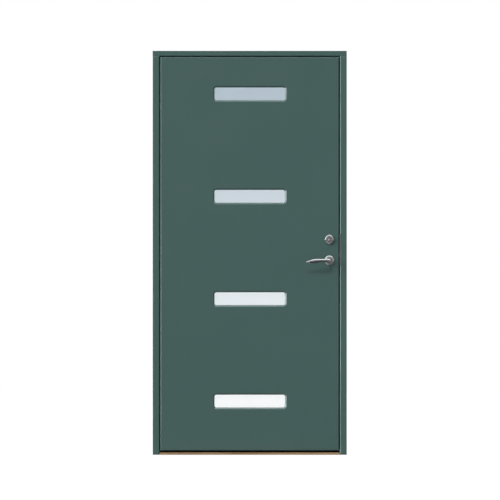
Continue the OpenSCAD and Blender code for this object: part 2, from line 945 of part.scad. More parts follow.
module spindle() {
    reach = lever_reach - lever_t;
    color(steel) translate([lock_x, 0, handle_z])
        block([-spindle_w / 2, y_out - reach + socket_d / 2, -spindle_w / 2],
            [spindle_w / 2, y_leaf_in + reach - socket_d / 2, spindle_w / 2]);
}

// Rose with a bevelled rim, seated at Z zero and standing up
module rose(diameter, bore_d, height) {
    edge = diameter / 2;
    bore = bore_d / 2 + free_clear;
    rotate_extrude() polygon([
        [bore, 0], [edge, 0], [edge, height - rose_bevel_h], [edge - rose_bevel_w, height], [bore, height]
    ]);
}

module outer_rose() {
    color(chrome) translate([lock_x, y_out, handle_z]) rotate([90, 0, 0]) rose(rose_d, neck_d, rose_t);
}

module inner_rose() {
    color(chrome) translate([lock_x, y_leaf_in, handle_z]) rotate([-90, 0, 0])
        rose(rose_d, neck_d, rose_t);
}

// Lever's section at station s from 0 at the root to 1 at the tip: an ellipse that thins and drops
function lever_s(i) = (1 - cos(180 * i / lever_rings)) / 2;
function lever_x(s) = lever_root - (lever_len + lever_root) * s;
function lever_bow(s) = s < lever_bend ? 0 : (s - lever_bend) / (1 - lever_bend);
function lever_power(s) = s < 0.5 ? lever_root_power : lever_tip_power;
function lever_end(s) = max(lever_end_min, sqrt(1 - pow(abs(2 * s - 1), lever_power(s))));
function lever_half_h(s) = lever_h / 2 * (1 - lever_taper_h * s) * lever_end(s);
function lever_half_t(s) = lever_t / 2 * (1 - lever_taper_t * s) * lever_end(s);
function lever_ring(s) = [
    for (j = [0 : lever_sides - 1])
        let (a = 360 * j / lever_sides)
        [
            lever_x(s),
            lever_half_t(s) * cos(a),
            -lever_drop * pow(lever_bow(s), 2) * (3 - 2 * lever_bow(s)) + lever_half_h(s) * sin(a)
        ]
];

// Grip of a lever, swept from its rings
module lever_grip() {
    n = lever_sides;
    polyhedron(
        points = [for (i = [0 : lever_rings]) each lever_ring(lever_s(i))],
        faces = concat(
            [[for (j = [0 : n - 1]) n - 1 - j]],
            [[for (j = [0 : n - 1]) lever_rings * n + j]],
            [for (i = [0 : lever_rings - 1], j = [0 : n - 1])
                [i * n + j, i * n + (j + 1) % n, (i + 1) * n + (j + 1) % n, (i + 1) * n + j]]
        )
    );
}

// Lever seated at Y zero and standing out towards -Y, with the square socket for the spindle
module lever() {
    grip_y = -lever_reach + lever_t / 2;
    difference() {
        union() {
            along_y(grip_y, -free_clear, neck_d / 2);
            translate([0, grip_y, 0]) lever_grip();
        }
        block([-spindle_w / 2, -lever_reach + lever_t + socket_d / 2, -spindle_w / 2],
            [spindle_w / 2, through, spindle_w / 2]);
    }
}

module outer_lever() {
    color(chrome) translate([lock_x, y_out, handle_z]) lever();
}

module inner_lever() {
    color(chrome) translate([lock_x, y_leaf_in, handle_z]) mirror([0, 1, 0]) lever();
}

// Cylinder

// Outline of the ring: an oval that narrows below its middle
function ring_point(a) = [
    ring_w / 2 * cos(a) * (1 - ring_taper * pow(min(0, sin(a)), 2)),
    ring_h / 2 * sin(a)
];

module ring_outline() {
    polygon([for (i = [0 : ring_sides - 1]) ring_point(360 * i / ring_sides)]);
}

module cylinder_ring() {
    shoulder = ring_t - ring_bevel_h;
    color(chrome) translate([lock_x, y_out, cylinder_z]) rotate([90, 0, 0]) difference() {
        translate([0, ring_rise, 0]) {
            linear_extrude(shoulder) ring_outline();
            translate([0, 0, shoulder])
                linear_extrude(ring_bevel_h, scale = 1 - 2 * ring_bevel_w / ring_w) ring_outline();
        }
        translate([0, 0, -through]) cylinder(r = cylinder_d / 2, h = ring_t + 2 * through);
    }
}

module cylinder_body() {
    back = lock_y - case_t / 2;
    color(steel) translate([lock_x, 0, cylinder_z]) difference() {
        along_y(cylinder_front, back, cylinder_d / 2);
        along_y(cylinder_front - through, back + through, plug_d / 2 + run_clear);
    }
}

module cylinder_plug() {
    back = lock_y - case_t / 2;
    color(chrome) translate([lock_x, 0, cylinder_z]) difference() {
        along_y(cylinder_front, back, plug_d / 2);
        rotate([0, keyway_lean, 0])
            block([-keyway_w / 2, cylinder_front - through, -keyway_h / 2],
                [keyway_w / 2, cylinder_front + keyway_d, keyway_h / 2]);
        block([-driver_t / 2, back - socket_d / 2, -driver_w / 2],
            [driver_t / 2, back + through, driver_w / 2]);
    }
}

module thumbturn_rose() {
    color(chrome) translate([lock_x, y_leaf_in, cylinder_z]) rotate([-90, 0, 0])
        rose(thumb_rose_d, thumb_neck_d, thumb_rose_t);
}

// Thumbturn: a neck through its rose and an oval tab that stands upright when unlocked
module thumbturn() {
    back = lock_y + case_t / 2;
    tab_y = y_leaf_in + thumb_rose_t + thumb_gap;
    color(chrome) translate([lock_x, 0, cylinder_z]) difference() {
        union() {
            along_y(back, tab_y + through, thumb_neck_d / 2);
            intersection() {
                block([-thumb_t / 2, tab_y, -thumb_w / 2],
                    [thumb_t / 2, y_leaf_in + thumb_reach, thumb_w / 2]);
                along_y(tab_y, y_leaf_in + thumb_reach, thumb_w / 2);
            }
        }
        block([-driver_t / 2, back - through, -driver_w / 2],
            [driver_t / 2, back + socket_d / 2, driver_w / 2]);
    }
}

head();
hinge_jamb();
lock_jamb();
threshold();
head_seal();
hinge_side_seal();
lock_side_seal();
threshold_seal();
corner_screws();
fixing_sleeves();
strike_plate();
strike_screws();
lower_frame_hinge();
middle_frame_hinge();
upper_frame_hinge();
frame_hinge_pins();
frame_hinge_screws();
outer_skin();
inner_skin();
hinge_stile();
lock_stile();
top_rail();
bottom_rail();
insulation_core();
for (i = [1 : light_total]) {
    outer_pane(i);
    inner_pane(i);
}
middle_panes();
glass_spacers();
lower_leaf_hinge();
middle_leaf_hinge();
upper_leaf_hinge();
leaf_hinge_pins();
leaf_hinge_screws();
frame_links();
leaf_links();
lock_case();
fore_end();
fore_end_screws();
cylinder_body();
cylinder_ring();
thumbturn_rose();
outer_rose();
inner_rose();
bottom_sweep();
outer_lever();
inner_lever();
spindle();
follower();
latch_bolt();
cylinder_plug();
thumbturn();
bolt_cam();
dead_bolt();
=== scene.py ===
"""Looks of a flush front door with four slot lights, in its painted frame on an oak threshold.

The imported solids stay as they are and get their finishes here. The lever handles, roses, cylinder
ring and plug, thumbturn and screws are worked out again as finer surfaces.
"""

import math

import bmesh
import bpy
import numpy as np
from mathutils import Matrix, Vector


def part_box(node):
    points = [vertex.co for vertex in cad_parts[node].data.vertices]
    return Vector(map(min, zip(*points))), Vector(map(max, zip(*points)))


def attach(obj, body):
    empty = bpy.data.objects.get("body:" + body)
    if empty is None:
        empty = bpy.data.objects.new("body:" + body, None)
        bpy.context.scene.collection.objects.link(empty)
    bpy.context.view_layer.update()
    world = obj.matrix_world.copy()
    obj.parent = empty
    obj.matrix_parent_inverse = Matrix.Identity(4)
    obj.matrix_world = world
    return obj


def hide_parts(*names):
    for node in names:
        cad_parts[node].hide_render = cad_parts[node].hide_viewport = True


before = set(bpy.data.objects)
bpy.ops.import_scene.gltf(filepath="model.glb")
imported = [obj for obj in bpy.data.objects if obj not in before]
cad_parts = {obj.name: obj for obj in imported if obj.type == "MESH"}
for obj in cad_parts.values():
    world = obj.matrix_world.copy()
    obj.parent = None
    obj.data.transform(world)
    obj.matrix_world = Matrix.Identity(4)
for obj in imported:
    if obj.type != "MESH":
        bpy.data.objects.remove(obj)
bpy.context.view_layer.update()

MM = 0.001
TURN = 2 * math.pi


# Small helpers

def linear(hex_colour):
    """sRGB hex value as a linear RGBA colour."""
    s = np.array([int(hex_colour[i:i + 2], 16) for i in (1, 3, 5)]) / 255
    rgb = np.where(s <= 0.04045, s / 12.92, ((s + 0.055) / 1.055) ** 2.4)
    return (*rgb.tolist(), 1.0)


def add(tree, kind, inputs=None, **settings):
    """Adds a node. Each input is a plain value or the output of another node."""
    node = tree.nodes.new("ShaderNode" + kind)
    for name, value in settings.items():
        setattr(node, name, value)
    for name, value in (inputs or {}).items():
        if isinstance(value, bpy.types.NodeSocket):
            tree.links.new(value, node.inputs[name])
        else:
            node.inputs[name].default_value = value
    return node


def new_material(name):
    """Empty node material and its tree of nodes."""
    material = bpy.data.materials.new(name)
    material.use_nodes = True
    material.node_tree.nodes.clear()
    return material, material.node_tree


def new_object(name, vertices, faces):
    """Mesh object at the origin with its place in its vertices."""
    mesh = bpy.data.meshes.new(name)
    mesh.from_pydata(vertices.tolist(), [], faces)
    piece = bpy.data.objects.new(name, mesh)
    bpy.context.scene.collection.objects.link(piece)
    return piece


def finish_piece(piece, material, body, nodes, sharp=35):
    """Points the faces outwards, smooths all but the sharp edges, and hangs the piece on its body
    in place of its nodes."""
    work = bmesh.new()
    work.from_mesh(piece.data)
    bmesh.ops.recalc_face_normals(work, faces=work.faces)
    work.to_mesh(piece.data)
    work.free()
    piece.data.shade_smooth()
    piece.data.set_sharp_from_angle(angle=math.radians(sharp))
    piece.data.materials.append(material)
    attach(piece, body)
    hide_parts(*nodes)
    return piece


def ring_faces(rings, sides):
    """Quads between each ring of points and the next, round a closed section."""
    i, j = np.meshgrid(np.arange(rings - 1), np.arange(sides), indexing="ij")
    k = (j + 1) % sides
    quads = np.stack([i * sides + j, i * sides + k, (i + 1) * sides + k, (i + 1) * sides + j], -1)
    return quads.reshape(-1, 4).tolist()


def closed_tube(rings):
    """Vertices and faces of a tube given as rings[n, m, 3], closed by a flat cap at each end."""
    n, m, _ = rings.shape
    faces = ring_faces(n, m)
    faces.append(list(range(m))[::-1])
    faces.append(list(range((n - 1) * m, n * m)))
    return rings.reshape(-1, 3), faces


def merged(parts):
    """Several (vertices, faces) shapes as one."""
    starts = np.cumsum([0] + [len(v) for v, _ in parts])
    faces = [[int(c + start) for c in face] for (_, fs), start in zip(parts, starts) for face in fs]
    return np.concatenate([v for v, _ in parts]), faces


def eased(points, ease, steps=5):
    """Polyline with each inner corner replaced by a parabola that starts and ends `ease` from it."""
    points = np.asarray(points, float)
    t = np.linspace(0, 1, steps)[:, None]
    out = [points[:1]]
    for before, corner, after in zip(points, points[1:], points[2:]):
        start = corner + (before - corner) * min(0.5, ease / np.linalg.norm(before - corner))
        end = corner + (after - corner) * min(0.5, ease / np.linalg.norm(after - corner))
        out.append((1 - t) ** 2 * start + 2 * t * (1 - t) * corner + t ** 2 * end)
    out.append(points[-1:])
    return np.concatenate(out)


def closed_ring(rings):
    """Vertices and faces of a ring given as rings[n, m, 3], its last ring of points joined to its
    first."""
    n, m, _ = rings.shape
    j = np.arange(m)
    k = (j + 1) % m
    last = (n - 1) * m
    faces = ring_faces(n, m) + np.stack([last + j, last + k, k, j], -1).tolist()
    return rings.reshape(-1, 3), faces


def turned(profile, centre, out, sides=96):
    """Closed profile of (radius, height) pairs carried once round the Y axis through `centre`.
    A height h lies at centre + out * h along Y."""
    a = np.arange(sides) * TURN / sides
    r, h = np.asarray(profile, float).T
    return closed_ring(np.stack([
        centre[0] + r[:, None] * np.cos(a),
        np.broadcast_to(centre[1] + out * h[:, None], (len(r), sides)),
        centre[2] + r[:, None] * np.sin(a),
    ], -1))


# Finishes

JOINT_HALF_W = 3 * MM
JOINT_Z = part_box("lock_jamb")[1].z
JOINT_START_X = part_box("outer_skin")[1].x + 10 * MM


def frame_joint(tree, place, normal):
    """V-joint where the head lies over a jamb: the height falls in a straight line from 3 mm above
    and below the top of the jamb, outside the rebate."""
    spot = add(tree, "SeparateXYZ", {"Vector": place})
    above = add(tree, "Math", {0: spot.outputs["Z"], 1: JOINT_Z}, operation="SUBTRACT")
    away = add(tree, "Math", {0: above.outputs["Value"]}, operation="ABSOLUTE")
    side = add(tree, "Math", {0: spot.outputs["X"]}, operation="ABSOLUTE")
    inside = add(tree, "Math", {0: side.outputs["Value"], 1: JOINT_START_X}, operation="LESS_THAN")
    face = add(tree, "MapRange", {"Value": away.outputs["Value"], "From Max": JOINT_HALF_W})
    height = add(tree, "Math", {
        0: face.outputs["Result"], 1: inside.outputs["Value"],
    }, operation="MAXIMUM")
    return add(tree, "Bump", {
        "Height": height.outputs["Value"], "Strength": 0.4, "Distance": JOINT_HALF_W,
        "Normal": normal,
    })


def sprayed_paint(name, hex_low, hex_high, grain=None):
    """Satin polyurethane paint, sprayed in the factory on board or planed timber.
    It gives the eye an even grey-green with a soft sheen, a trace of orange peel, and on timber the
    faintest lift of the grain along its length and the joint of the frame. Orange peel is really
    about 2 mm and is drawn three times as coarse so that it shows."""
    material, tree = new_material(name)
    place = add(tree, "TexCoord").outputs["Object"]
    cloud = add(tree, "TexNoise", {"Vector": place, "Scale": 1 / (220 * MM), "Detail": 2.0})
    colour = add(tree, "Mix", {
        "Factor": cloud.outputs["Fac"], "A": linear(hex_low), "B": linear(hex_high),
    }, data_type="RGBA")
    peel = add(tree, "TexNoise", {"Vector": place, "Scale": 1 / (6 * MM), "Detail": 1.0})
    bump = add(tree, "Bump", {"Height": peel.outputs["Fac"], "Strength": 0.25, "Distance": 0.02 * MM})
    if grain is not None:
        size = [1 / (5 * MM)] * 3
        size[grain] = 1 / (260 * MM)
        fibre = add(tree, "Mapping", {"Vector": place, "Scale": size})
        lines = add(tree, "TexNoise", {"Vector": fibre.outputs["Vector"], "Scale": 1.0, "Detail": 3.0})
        bump = add(tree, "Bump", {
            "Height": lines.outputs["Fac"], "Strength": 0.3, "Distance": 0.05 * MM,
            "Normal": bump.outputs["Normal"],
        })
        bump = frame_joint(tree, place, bump.outputs["Normal"])
    sheen = add(tree, "MapRange", {"Value": cloud.outputs["Fac"], "To Min": 0.3, "To Max": 0.36})
    shader = add(tree, "BsdfPrincipled", {
        "Base Color": colour.outputs["Result"], "Roughness": sheen.outputs["Result"],
        "Specular IOR Level": 0.4, "Normal": bump.outputs["Normal"],
    })
    add(tree, "OutputMaterial", {"Surface": shader.outputs["BSDF"]})
    return material


def oiled_oak():
    """Oak, planed along its length and oiled. It gives the eye warm tan bands that run along the
    threshold, with short dark pores. Pores are really 0.3 mm wide and are drawn at 1.5 mm."""
    material, tree = new_material("oiled_oak")
    place = add(tree, "TexCoord").outputs["Object"]
    stretch = add(tree, "Mapping", {"Vector": place, "Scale": (1 / 0.24, 1 / (9 * MM), 1 / (9 * MM))})
    bands = add(tree, "TexNoise", {
        "Vector": stretch.outputs["Vector"], "Scale": 1.0, "Detail": 4.0, "Distortion": 0.6,
    })
    tone = add(tree, "MapRange", {"Value": bands.outputs["Fac"], "From Min": 0.3, "From Max": 0.7})
    wood = add(tree, "Mix", {
        "Factor": tone.outputs["Result"], "A": linear("#725838"), "B": linear("#9F8668"),
    }, data_type="RGBA")
    short = add(tree, "Mapping", {
        "Vector": place, "Scale": (1 / (25 * MM), 1 / (1.5 * MM), 1 / (1.5 * MM)),
    })
    dashes = add(tree, "TexNoise", {"Vector": short.outputs["Vector"], "Scale": 1.0, "Detail": 1.0})
    pores = add(tree, "MapRange", {
        "Value": dashes.outputs["Fac"], "From Min": 0.62, "From Max": 0.72, "To Max": 0.55,
    })
    colour = add(tree, "Mix", {
        "Factor": pores.outputs["Result"], "A": wood.outputs["Result"], "B": linear("#4A341D"),
    }, data_type="RGBA")
    bump = add(tree, "Bump", {
        "Height": pores.outputs["Result"], "Strength": 0.4, "Distance": 0.1 * MM,
    }, invert=True)
    shader = add(tree, "BsdfPrincipled", {
        "Base Color": colour.outputs["Result"], "Roughness": 0.48, "Specular IOR Level": 0.35,
        "Normal": bump.outputs["Normal"],
    })
    add(tree, "OutputMaterial", {"Surface": shader.outputs["BSDF"]})
    return material


def opal_glass_and_painted_sky(low_z, high_z):
    """Float glass with a milky interlayer: a smooth pale sheet without a view through it. Its base
    colour also holds a painted sky reflection, blue-grey in the top light and almost white in the
    bottom one."""
    material, tree = new_material("opal_glass_and_painted_sky")
    place = add(tree, "TexCoord").outputs["Object"]
    height = add(tree, "SeparateXYZ", {"Vector": place})
    rise = add(tree, "MapRange", {
        "Value": height.outputs["Z"], "From Min": low_z, "From Max": high_z,
    })
    # Painted sky reflection: by height, blue-grey is mixed into the milky white towards the top light.
    painted_sky_share = add(tree, "Math", {0: rise.outputs["Result"], 1: 0.72}, operation="POWER")
    colour = add(tree, "Mix", {
        "Factor": painted_sky_share.outputs["Value"], "A": linear("#F7F9FA"), "B": linear("#ABB9C4"),
    }, data_type="RGBA")
    ripple = add(tree, "TexNoise", {"Vector": place, "Scale": 1 / (90 * MM), "Detail": 0.0})
    polish = add(tree, "MapRange", {"Value": ripple.outputs["Fac"], "To Min": 0.1, "To Max": 0.16})
    shader = add(tree, "BsdfPrincipled", {
        "Base Color": colour.outputs["Result"], "Roughness": polish.outputs["Result"],
        "IOR": 1.52, "Specular IOR Level": 0.5,
    })
    add(tree, "OutputMaterial", {"Surface": shader.outputs["BSDF"]})
    return material


def metal(name, hex_dark, hex_pale, rough, stroke, depth):
    """Metal with a fine worked surface: `stroke` is the size in millimetres of the marks along X, Y
    and Z, and `depth` their depth. The marks shift its tone, its roughness and its normal a little."""
    material, tree = new_material(name)
    place = add(tree, "TexCoord").outputs["Object"]
    marks = add(tree, "Mapping", {"Vector": place, "Scale": [1 / (s * MM) for s in stroke]})
    worn = add(tree, "TexNoise", {"Vector": marks.outputs["Vector"], "Scale": 1.0, "Detail": 3.0})
    colour = add(tree, "Mix", {
        "Factor": worn.outputs["Fac"], "A": linear(hex_dark), "B": linear(hex_pale),
    }, data_type="RGBA")
    sheen = add(tree, "MapRange", {
        "Value": worn.outputs["Fac"], "From Min": 0.25, "From Max": 0.75,
        "To Min": rough[0], "To Max": rough[1],
    })
    bump = add(tree, "Bump", {"Height": worn.outputs["Fac"], "Strength": 0.3, "Distance": depth * MM})
    shader = add(tree, "BsdfPrincipled", {
        "Base Color": colour.outputs["Result"], "Roughness": sheen.outputs["Result"],
        "Metallic": 1.0, "Normal": bump.outputs["Normal"],
    })
    add(tree, "OutputMaterial", {"Surface": shader.outputs["BSDF"]})
    return material


def dull(name, hex_dark, hex_pale, rough, speck, depth):
    """Moulded or foamed material with specks of `speck` millimetres in its tone and its surface."""
    material, tree = new_material(name)
    place = add(tree, "TexCoord").outputs["Object"]
    specks = add(tree, "TexNoise", {"Vector": place, "Scale": 1 / (speck * MM), "Detail": 2.0})
    colour = add(tree, "Mix", {
        "Factor": specks.outputs["Fac"], "A": linear(hex_dark), "B": linear(hex_pale),
    }, data_type="RGBA")
    bump = add(tree, "Bump", {
        "Height": specks.outputs["Fac"], "Strength": 0.4, "Distance": depth * MM,
    })
    shader = add(tree, "BsdfPrincipled", {
        "Base Color": colour.outputs["Result"], "Roughness": rough, "Specular IOR Level": 0.3,
        "Normal": bump.outputs["Normal"],
    })
    add(tree, "OutputMaterial", {"Surface": shader.outputs["BSDF"]})
    return material


PAINT_LOW, PAINT_HIGH = "#3E5854", "#405A56"
board_paint = sprayed_paint("sprayed_paint_on_board", PAINT_LOW, PAINT_HIGH)
upright_paint = sprayed_paint("sprayed_paint_on_upright_timber", PAINT_LOW, PAINT_HIGH, grain=2)
across_paint = sprayed_paint("sprayed_paint_on_crosswise_timber", PAINT_LOW, PAINT_HIGH, grain=0)
oak = oiled_oak()
low_light, high_light = (sum(c.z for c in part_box(f"outer_pane_{i}")) / 2 for i in (4, 1))
glass = opal_glass_and_painted_sky(low_light, high_light)
# Chrome plate on polished zinc: a bright mirror with the softest trace of the polishing mop.
chrome = metal("polished_chrome", "#CFD0D2", "#E2E3E5", (0.08, 0.16), (14, 14, 14), 0.004)
# Chrome plate on brushed zinc: the same tone with a soft satin sheen.
satin_chrome = metal("satin_chrome", "#CFD0D2", "#E2E3E5", (0.28, 0.34), (14, 14, 14), 0.004)
# Stainless steel, brushed along its length: fine upright streaks and a broad, grey sheen.
steel = metal("brushed_stainless_steel", "#A6B0B0", "#CDD6D5", (0.28, 0.4), (1.5, 1.5, 60), 0.01)
# Turned steel of the cylinder: grey, with a satin face.
turned_steel = metal("satin_turned_steel", "#CFCACA", "#DEDADA", (0.25, 0.35), (3, 40, 3), 0.01)
# Bright zinc plate, barrelled: a blueish grey with faint cloudy patches.
zinc = metal("zinc_plate", "#8A9196", "#AEB4B8", (0.3, 0.45), (12, 12, 12), 0.01)
# EPDM rubber, extruded: near black with a dry, slightly dusty bloom.
rubber = dull("extruded_rubber", "#151818", "#232727", 0.62, 5, 0.03)
# Rigid polyurethane foam, cut: cream with fine open cells.
foam = dull("rigid_foam", "#D8D2BC", "#EAE5D4", 0.85, 3, 0.3)
# Coated spacer bar: matt charcoal.
spacer = dull("charcoal_spacer", "#232527", "#323537", 0.55, 2, 0.02)

FINISHES = {
    board_paint: ["outer_skin", "inner_skin"],
    upright_paint: ["hinge_jamb", "lock_jamb", "hinge_stile", "lock_stile"],
    across_paint: ["head", "top_rail", "bottom_rail"],
    oak: ["threshold"],
    glass: ["middle_panes"] + [f"{side}_pane_{i}" for side in ("outer", "inner") for i in range(1, 5)],
    chrome: ["outer_rose", "inner_rose", "outer_lever", "inner_lever", "cylinder_ring",
             "thumbturn_rose", "thumbturn"],
    steel: ["strike_plate", "fore_end", "latch_bolt", "dead_bolt", "spindle",
            "frame_hinge_pins", "leaf_hinge_pins", "frame_links", "leaf_links"],
    turned_steel: ["cylinder_body", "cylinder_plug"],
    zinc: ["corner_screws", "fixing_sleeves", "strike_screws", "fore_end_screws",
           "frame_hinge_screws", "leaf_hinge_screws", "lock_case", "follower", "bolt_cam"]
          + [f"{place}_{side}_hinge" for place in ("lower", "middle", "upper")
             for side in ("frame", "leaf")],
    rubber: ["head_seal", "hinge_side_seal", "lock_side_seal", "threshold_seal", "bottom_sweep"],
    foam: ["insulation_core"],
    spacer: ["glass_spacers"],
}
for finish, names in FINISHES.items():
    for name in names:
        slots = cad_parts[name].data.materials
        slots.clear()
        slots.append(finish)


# Roses, and the ring and plug of the cylinder

def seat(node, out):
    """Axis and seat of a turned node that stands out along Y, with its radius and height."""
    low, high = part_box(node)
    middle = (low + high) / 2
    base = high.y if out < 0 else low.y
    return np.array([middle.x, base, middle.z]), (high.x - low.x) / 2, high.y - low.y


ROSE_BEVEL_H = 3.8 * MM
ROSE_BEVEL_W = 5.5 * MM
ROSE_EASE = 0.7 * MM
LEVER_BORE_R = 9.4 * MM
THUMBTURN_BORE_R = 7.4 * MM


def rose(name, node, out, bore):
    """Rose turned from a flat disc: an upright edge, a bevel eased into it, and a flat face."""
    centre, radius, height = seat(node, out)
    profile = eased([
        (bore, 0), (radius, 0), (radius, height - ROSE_BEVEL_H), (radius - ROSE_BEVEL_W, height),
        (bore, height),
    ], ROSE_EASE)
    piece = new_object(name, *turned(profile, centre, out))
    return finish_piece(piece, satin_chrome, "leaf", [node], sharp=50)


rose("outer_rose_turned", "outer_rose", -1, LEVER_BORE_R)
rose("inner_rose_turned", "inner_rose", 1, LEVER_BORE_R)
rose("thumbturn_rose_turned", "thumbturn_rose", 1, THUMBTURN_BORE_R)

RING_BEVEL_H = 3 * MM
RING_BEVEL_W = 4.5 * MM
RING_FACE_W = 3 * MM
RING_EASE = 0.6 * MM
RING_SIDES = 120
EGG_CUT = 0.45


def egg_ring():
    """Ring round the cylinder: a profile carried round an egg. The egg is an oval whose width below
    its middle is cut by 45% of the squared sine. Its points shrink towards the egg's middle over the
    bevel, and over the flat face they pass in a straight line to the round bore."""
    low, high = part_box("cylinder_ring")
    axis = (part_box("cylinder_plug")[0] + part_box("cylinder_plug")[1]) / 2
    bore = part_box("cylinder_body")[1].x - axis.x
    half_w, half_h, height = (high.x - low.x) / 2, (high.z - low.z) / 2, high.y - low.y
    face_end = RING_BEVEL_W + RING_FACE_W
    inset, h = eased([
        (face_end, 0), (0, 0), (0, height - RING_BEVEL_H), (RING_BEVEL_W, height), (face_end, height),
    ], RING_EASE).T[:, :, None]
    a = np.arange(RING_SIDES) * TURN / RING_SIDES
    shrink = 1 - np.minimum(inset, RING_BEVEL_W) / half_w
    egg_x = half_w * shrink * np.cos(a) * (1 - EGG_CUT * np.minimum(0, np.sin(a)) ** 2)
    egg_z = (low.z + high.z) / 2 - axis.z + half_h * shrink * np.sin(a)
    to_bore = np.clip((inset - RING_BEVEL_W) / RING_FACE_W, 0, 1)
    rings = np.stack([
        axis.x + egg_x + to_bore * (bore * np.cos(a) - egg_x),
        np.broadcast_to(high.y - h, egg_x.shape),
        axis.z + egg_z + to_bore * (bore * np.sin(a) - egg_z),
    ], -1)
    piece = new_object("cylinder_ring_cast", *closed_ring(rings))
    return finish_piece(piece, chrome, "leaf", ["cylinder_ring"], sharp=50)


egg_ring()

KEYWAY_HALF_L = 4.5 * MM
KEYWAY_HALF_W = 1.25 * MM
KEYWAY_LEAN = math.radians(45)
PLUG_SIDES = 96


def key_plug():
    """Plug of the cylinder, drawn as one tube of rings from the keyway's floor to the plug's back.
    The keyway is a slot with round ends. On the face the rings pass in a straight line from the slot
    to the plug's edge, over a low lip round the slot and a fine groove near the edge."""
    low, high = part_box("cylinder_plug")
    axis, radius, front = (low + high) / 2, (high.x - low.x) / 2, low.y
    a = np.arange(PLUG_SIDES) * TURN / PLUG_SIDES
    slot = np.stack([KEYWAY_HALF_W * np.cos(a), KEYWAY_HALF_W * np.sin(a)], -1)
    slot[:, 1] += np.sign(np.round(np.sin(a), 6)) * (KEYWAY_HALF_L - KEYWAY_HALF_W)
    rim = np.stack([radius * np.cos(a), radius * np.sin(a)], -1)
    # Share of the way from the slot to the edge, and depth in millimetres behind the plug's front
    stations = np.array([
        (0, 8), (0, 0.1), (0.02, 0), (0.06, 0.05), (0.12, 0.3), (0.56, 2.0), (0.62, 2.1), (0.84, 2.1),
        (0.86, 2.4), (0.9, 2.4), (0.92, 2.1), (0.97, 2.1), (1, 2.3), (1, (high.y - front) / MM),
    ])
    share, deep = stations.T[:, :, None]
    flat = slot + share[..., None] * (rim - slot)
    across, along = flat[..., 0], flat[..., 1]
    rings = np.stack([
        axis.x + across * math.cos(KEYWAY_LEAN) + along * math.sin(KEYWAY_LEAN),
        np.broadcast_to(front + deep * MM, across.shape),
        axis.z - across * math.sin(KEYWAY_LEAN) + along * math.cos(KEYWAY_LEAN),
    ], -1)
    piece = new_object("cylinder_plug_cut", *closed_tube(rings))
    return finish_piece(piece, turned_steel, "lock_turn", ["cylinder_plug"])


key_plug()


# Lever handles

LEVER_LENGTH = 121 * MM
LEVER_OUT = 48.5 * MM
LEVER_BEND_R = 12 * MM
NECK_R = 9 * MM
LEVER_SIDES = 56
GRIP_HALF_T = 6.5 * MM
GRIP_THINNING = 0.25
TIP_BLUNTNESS = 0.35
POLE_R = 0.03 * MM
# Edges of the grip in millimetres: heights from its axis, and starts and runs along it
UPPER_EDGE, FALL_START, FALL = 7.6, 70, 14.2
LOWER_EDGE, BELLY_START, BELLY_RUN, BELLY_DROP = -8, 36, 36, 6.8
UPTURN_RUN, UPTURN = 20, 5.3


def smooth(u):
    """Smooth step from 0 to 1."""
    u = np.clip(u, 0, 1)
    return u * u * (3 - 2 * u)


def lever(name, node, rose_node, out):
    """One bar carried along a path: out of the rose, round a quarter bend, then along the grip.
    Its section is an ellipse that turns from the round neck into an upright oval between two edges,
    given in millimetres by the distance d from the axis. The upper edge runs level to d = 70 and
    then falls by 14.2 u^1.5. The lower edge sinks by a smooth step of 6.8 between d = 36 and 72 and
    turns up again by 5.3 over the last 20. The bar thins by a quarter towards its tip and closes
    over its outer half with the root of 1 - v^4, in its height with that root's power of 0.35."""
    axis, _, _ = seat(rose_node, out)
    straight = LEVER_OUT - LEVER_BEND_R
    neck = np.linspace(0.4 * MM, straight, 6)[:-1]
    bend = np.linspace(0, math.pi / 2, 20)[:-1]
    grip = np.sin(np.linspace(0, math.pi / 2, 72))
    x = np.concatenate([
        0 * neck, LEVER_BEND_R * (np.cos(bend) - 1),
        -LEVER_BEND_R - (LEVER_LENGTH - LEVER_BEND_R) * grip,
    ])
    rise = np.concatenate([neck, straight + LEVER_BEND_R * np.sin(bend), LEVER_OUT + 0 * grip])
    turn = np.concatenate([0 * neck, bend, math.pi / 2 + 0 * grip])
    d, length = -x / MM, LEVER_LENGTH / MM
    fall = np.clip((d - FALL_START) / (length - FALL_START), 0, 1) ** 1.5
    upturn = np.clip((d - length + UPTURN_RUN) / UPTURN_RUN, 0, 1) ** 2
    belly = smooth((d - BELLY_START) / BELLY_RUN)
    upper = (UPPER_EDGE - FALL * fall) * MM
    lower = (LOWER_EDGE - BELLY_DROP * belly + UPTURN * upturn) * MM
    oval = (turn / (math.pi / 2)) ** 2
    close = np.sqrt(np.clip(1 - np.clip(d / length * 2 - 1, 0, 1) ** 4, 0, 1))
    z = oval * (upper + lower) / 2
    half_h = (1 - oval) * NECK_R + oval * (upper - lower) / 2 * close ** TIP_BLUNTNESS + POLE_R
    grip_t = GRIP_HALF_T * (1 - GRIP_THINNING * d / length)
    half_t = ((1 - oval) * NECK_R + oval * grip_t) * close + POLE_R
    a = np.arange(LEVER_SIDES) * TURN / LEVER_SIDES
    rings = np.stack([
        axis[0] + x[:, None] + (half_t * np.cos(turn))[:, None] * np.cos(a),
        axis[1] + out * (rise[:, None] + (half_t * np.sin(turn))[:, None] * np.cos(a)),
        axis[2] + z[:, None] + half_h[:, None] * np.sin(a),
    ], -1)
    piece = new_object(name, *closed_tube(rings))
    return finish_piece(piece, chrome, "handle", [node], sharp=60)


lever("outer_lever_cast", "outer_lever", "outer_rose", -1)
lever("inner_lever_cast", "inner_lever", "inner_rose", 1)


# Thumbturn

TAB_SIDES = 48
# In millimetres: heights out of the rose, and the half widths of neck and tab
TAB_FOOT, TAB_REACH, TAB_CLOSING = 0.5, 30, 5
SPREAD_START, SPREAD_RUN, TAPER_START = 9, 7, 12
TAB_NECK_R, TAB_WIDENING, TAB_FLATTENING = 7, 8, 2
TAB_TAPER_Z, TAB_TAPER_X = 0.06, 0.05
TAB_ROUNDING = 0.9


